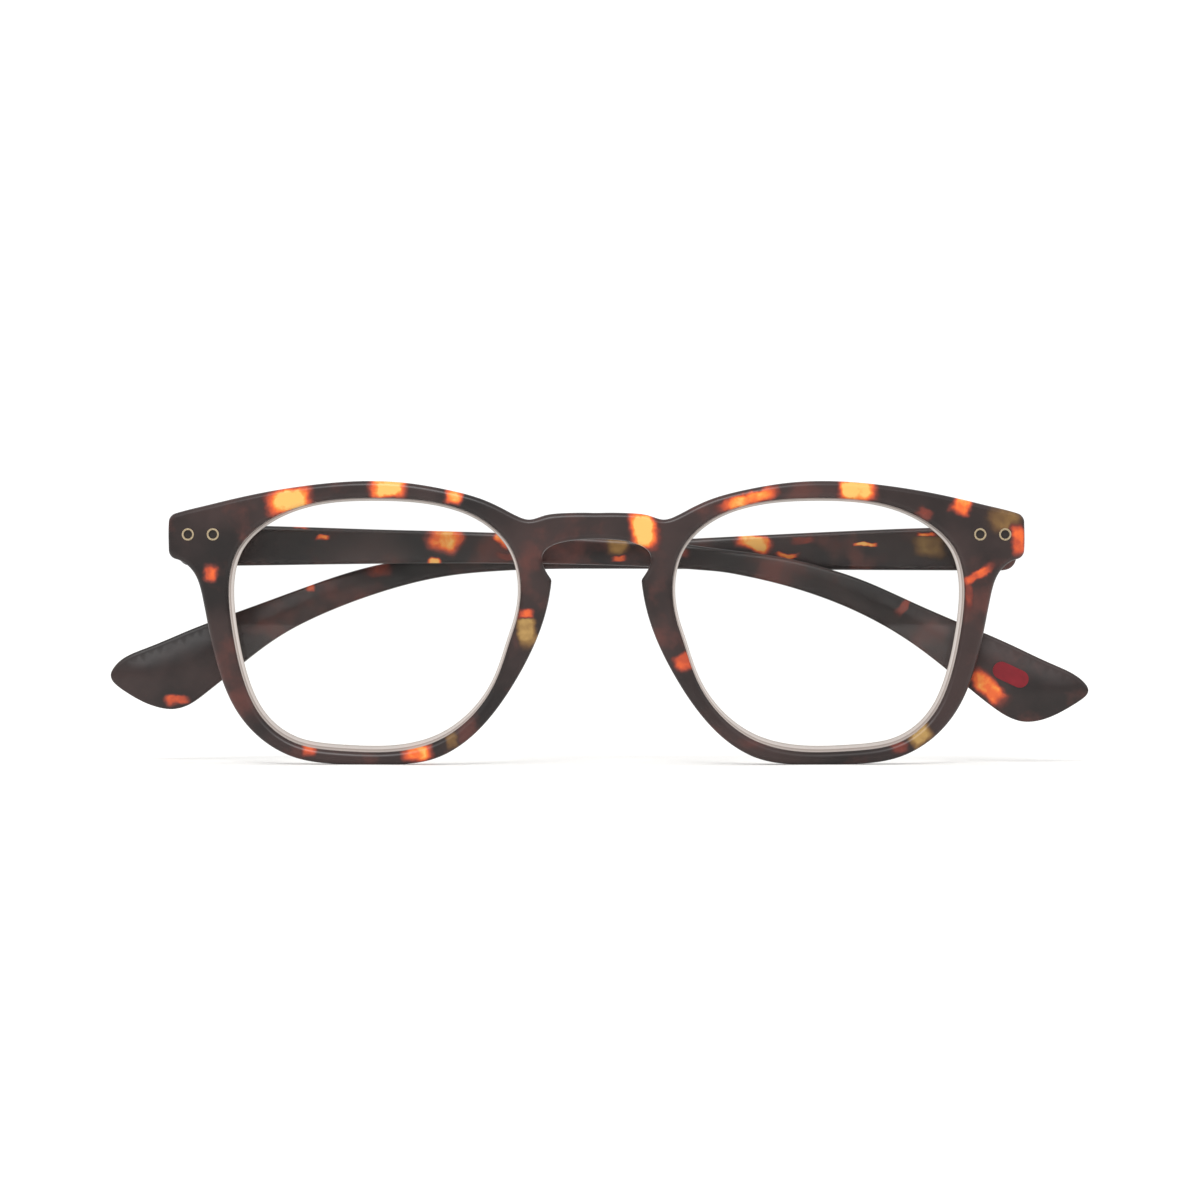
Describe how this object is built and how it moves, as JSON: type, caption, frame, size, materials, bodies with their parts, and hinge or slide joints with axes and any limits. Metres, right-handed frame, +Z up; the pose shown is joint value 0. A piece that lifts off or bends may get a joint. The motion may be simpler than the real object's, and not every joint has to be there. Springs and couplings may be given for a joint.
{
  "type": "folding reading glasses",
  "caption": "Round-square keyhole-bridge reading glasses in a tortoiseshell finish, stored folded, with riveted hinges and temples that open.",
  "frame": {"origin": "on the centre plane, on the bridge's front face, level with the bottom of the two rims", "axes": "as worn: +X to the wearer's left, +Y back towards the wearer, +Z up; the temples are folded behind the front at rest"},
  "size_m": [0.1568, 0.0227, 0.0448],
  "materials": {
    "front_tortoise": "satin tortoiseshell",
    "temple_tortoise": "satin tortoiseshell",
    "lens": "clear polished lens",
    "hinge_metal": "gold plated",
    "rivet_metal": "polished",
    "marker": "dark red inlay"
  },
  "bodies": {
    "front": {"front_frame": "front_tortoise", "right_lens": "lens", "left_lens": "lens", "right_front_hinge_leaf": "hinge_metal", "left_front_hinge_leaf": "hinge_metal", "right_hinge_screw": "hinge_metal", "left_hinge_screw": "hinge_metal", "right_outer_front_rivet": "rivet_metal", "right_inner_front_rivet": "rivet_metal", "left_outer_front_rivet": "rivet_metal", "left_inner_front_rivet": "rivet_metal"},
    "right_temple": {"right_temple": "temple_tortoise", "right_temple_hinge_leaf": "hinge_metal", "right_rear_temple_rivet": "rivet_metal", "right_front_temple_rivet": "rivet_metal", "power_marker": "marker"},
    "left_temple": {"left_temple": "temple_tortoise", "left_temple_hinge_leaf": "hinge_metal", "left_rear_temple_rivet": "rivet_metal", "left_front_temple_rivet": "rivet_metal"}
  },
  "joints": [
    {"name": "right_temple_hinge", "type": "hinge", "parent": "front", "child": "right_temple", "pos_m": [-0.0634, 0.0132, 0.0345], "axis": [0, 0, 1], "range_deg": [0, 94]},
    {"name": "left_temple_hinge", "type": "hinge", "parent": "front", "child": "left_temple", "pos_m": [0.0634, 0.0132, 0.0345], "axis": [0, 0, -1], "range_deg": [0, 90]}
  ]
}
